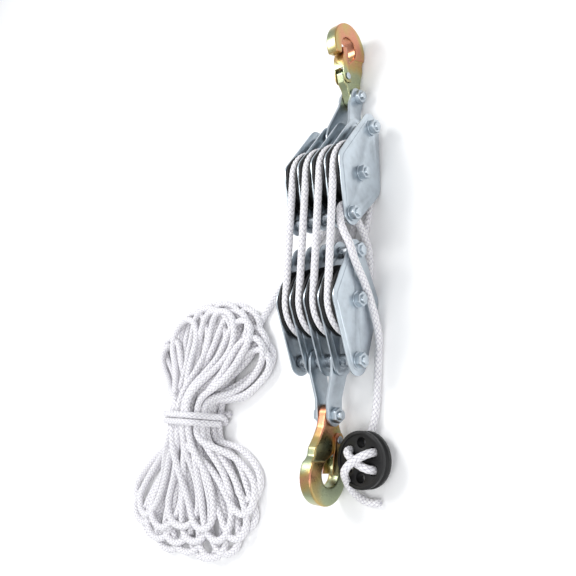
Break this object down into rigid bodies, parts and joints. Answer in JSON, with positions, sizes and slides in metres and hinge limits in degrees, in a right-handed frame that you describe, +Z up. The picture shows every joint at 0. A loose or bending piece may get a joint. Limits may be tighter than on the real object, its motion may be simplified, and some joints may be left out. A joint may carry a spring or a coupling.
{
  "type": "rope hoist block and tackle",
  "caption": "Rope hoist lying flat: two plated sheave blocks reeved with white braided rope, a latch hook on each, a stopper disc on the dead end and the spare rope tied in a hank.",
  "frame": {"origin": "centre of the outline of the two blocks with their hooks, on the surface that they lie on; the free rope isn't counted", "axes": "+Y along the tackle, towards the upper hook; +X along the sheave axles, towards the side with the nuts; +Z up"},
  "size_m": [0.5003, 0.7319, 0.0885],
  "materials": {
    "zinc": "satin blue-white zinc plating",
    "bright_zinc": "mottled galvanized",
    "black_plastic": "moulded, semi-matte",
    "yellow_zinc": "yellow iridescent zinc plating",
    "rope": "white braided polypropylene"
  },
  "bodies": {
    "upper_block": {"upper_left_plate": "zinc", "upper_partition_1": "zinc", "upper_partition_2": "zinc", "upper_partition_3": "zinc", "upper_right_plate": "zinc", "upper_axle_bolt": "zinc", "upper_head_bolt": "zinc", "upper_tail_bolt": "zinc", "upper_nuts": "zinc", "upper_washers": "zinc", "upper_axle_sleeves": "bright_zinc", "upper_head_spacers": "bright_zinc", "upper_tail_spacers": "bright_zinc", "upper_left_strap": "zinc", "upper_right_strap": "zinc", "upper_hook_pin": "zinc", "upper_rope_wraps": "rope", "haul_line": "rope", "hank": "rope", "hank_tie": "rope", "front_falls": "rope", "back_falls": "rope", "dead_end_fall": "rope"},
    "lower_block": {"lower_left_plate": "zinc", "lower_partition_1": "zinc", "lower_partition_2": "zinc", "lower_partition_3": "zinc", "lower_right_plate": "zinc", "lower_axle_bolt": "zinc", "lower_head_bolt": "zinc", "lower_tail_bolt": "zinc", "lower_nuts": "zinc", "lower_washers": "zinc", "lower_axle_sleeves": "bright_zinc", "lower_head_spacers": "bright_zinc", "lower_tail_spacers": "bright_zinc", "lower_left_strap": "zinc", "lower_right_strap": "zinc", "lower_hook_pin": "zinc", "lower_rope_wraps": "rope", "stopper_line": "rope", "stopper_disc": "black_plastic"},
    "upper_sheave_1": {"upper_sheave_1": "black_plastic"},
    "upper_sheave_2": {"upper_sheave_2": "black_plastic"},
    "upper_sheave_3": {"upper_sheave_3": "black_plastic"},
    "upper_sheave_4": {"upper_sheave_4": "black_plastic"},
    "lower_sheave_1": {"lower_sheave_1": "black_plastic"},
    "lower_sheave_2": {"lower_sheave_2": "black_plastic"},
    "lower_sheave_3": {"lower_sheave_3": "black_plastic"},
    "lower_sheave_4": {"lower_sheave_4": "black_plastic"},
    "upper_hook": {"upper_hook": "yellow_zinc", "upper_latch_rivet": "zinc", "upper_latch_spring": "bright_zinc"},
    "upper_latch": {"upper_latch": "yellow_zinc"},
    "lower_hook": {"lower_hook": "yellow_zinc", "lower_latch_rivet": "zinc", "lower_latch_spring": "bright_zinc"},
    "lower_latch": {"lower_latch": "yellow_zinc"}
  },
  "joints": [
    {"name": "haul", "type": "slide", "parent": "upper_block", "child": "lower_block", "axis": [0, -1, 0], "range_m": [-0.012, 1.6], "deforming": ["front_falls", "back_falls", "dead_end_fall"]},
    {"name": "upper_sheave_1_turn", "type": "hinge", "parent": "upper_block", "child": "upper_sheave_1", "pos_m": [-0.0364, 0.08229, 0.04435], "axis": [1, 0, 0], "continuous": true},
    {"name": "upper_sheave_2_turn", "type": "hinge", "parent": "upper_block", "child": "upper_sheave_2", "pos_m": [-0.0149, 0.08229, 0.04435], "axis": [1, 0, 0], "continuous": true},
    {"name": "upper_sheave_3_turn", "type": "hinge", "parent": "upper_block", "child": "upper_sheave_3", "pos_m": [0.0066, 0.08229, 0.04435], "axis": [1, 0, 0], "continuous": true},
    {"name": "upper_sheave_4_turn", "type": "hinge", "parent": "upper_block", "child": "upper_sheave_4", "pos_m": [0.0281, 0.08229, 0.04435], "axis": [1, 0, 0], "continuous": true},
    {"name": "lower_sheave_1_turn", "type": "hinge", "parent": "lower_block", "child": "lower_sheave_1", "pos_m": [-0.0327, -0.07671, 0.04435], "axis": [1, 0, 0], "continuous": true},
    {"name": "lower_sheave_2_turn", "type": "hinge", "parent": "lower_block", "child": "lower_sheave_2", "pos_m": [-0.0112, -0.07671, 0.04435], "axis": [1, 0, 0], "continuous": true},
    {"name": "lower_sheave_3_turn", "type": "hinge", "parent": "lower_block", "child": "lower_sheave_3", "pos_m": [0.0103, -0.07671, 0.04435], "axis": [1, 0, 0], "continuous": true},
    {"name": "lower_sheave_4_turn", "type": "hinge", "parent": "lower_block", "child": "lower_sheave_4", "pos_m": [0.0318, -0.07671, 0.04435], "axis": [1, 0, 0], "continuous": true},
    {"name": "upper_hook_swing", "type": "hinge", "parent": "upper_block", "child": "upper_hook", "pos_m": [-0.00415, 0.21162, 0.0133], "axis": [1, 0, 0], "range_deg": [-100, 35]},
    {"name": "upper_latch_open", "type": "hinge", "parent": "upper_hook", "child": "upper_latch", "pos_m": [-0.00415, 0.23353, 0.03505], "axis": [-1, 0, 0], "range_deg": [0, 20], "stiffness_Nm_per_rad": 0.06, "springref_deg": -20.05, "deforming": ["upper_latch_spring"]},
    {"name": "lower_hook_swing", "type": "hinge", "parent": "lower_block", "child": "lower_hook", "pos_m": [-0.00045, -0.20885, 0.02929], "axis": [1, 0, 0], "range_deg": [-70, 70]},
    {"name": "lower_latch_open", "type": "hinge", "parent": "lower_hook", "child": "lower_latch", "pos_m": [-0.00045, -0.2368, 0.01617], "axis": [-1, 0, 0], "range_deg": [0, 20], "stiffness_Nm_per_rad": 0.06, "springref_deg": -20.05, "deforming": ["lower_latch_spring"]}
  ],
  "couplings": [
    {"joint": "upper_sheave_1_turn", "follows": "haul", "rad_per_m": 203.05},
    {"joint": "upper_sheave_2_turn", "follows": "haul", "rad_per_m": 152.28},
    {"joint": "upper_sheave_3_turn", "follows": "haul", "rad_per_m": 101.52},
    {"joint": "upper_sheave_4_turn", "follows": "haul", "rad_per_m": 50.761},
    {"joint": "lower_sheave_1_turn", "follows": "haul", "rad_per_m": 177.66},
    {"joint": "lower_sheave_2_turn", "follows": "haul", "rad_per_m": 126.9},
    {"joint": "lower_sheave_3_turn", "follows": "haul", "rad_per_m": 76.142},
    {"joint": "lower_sheave_4_turn", "follows": "haul", "rad_per_m": 25.381}
  ]
}
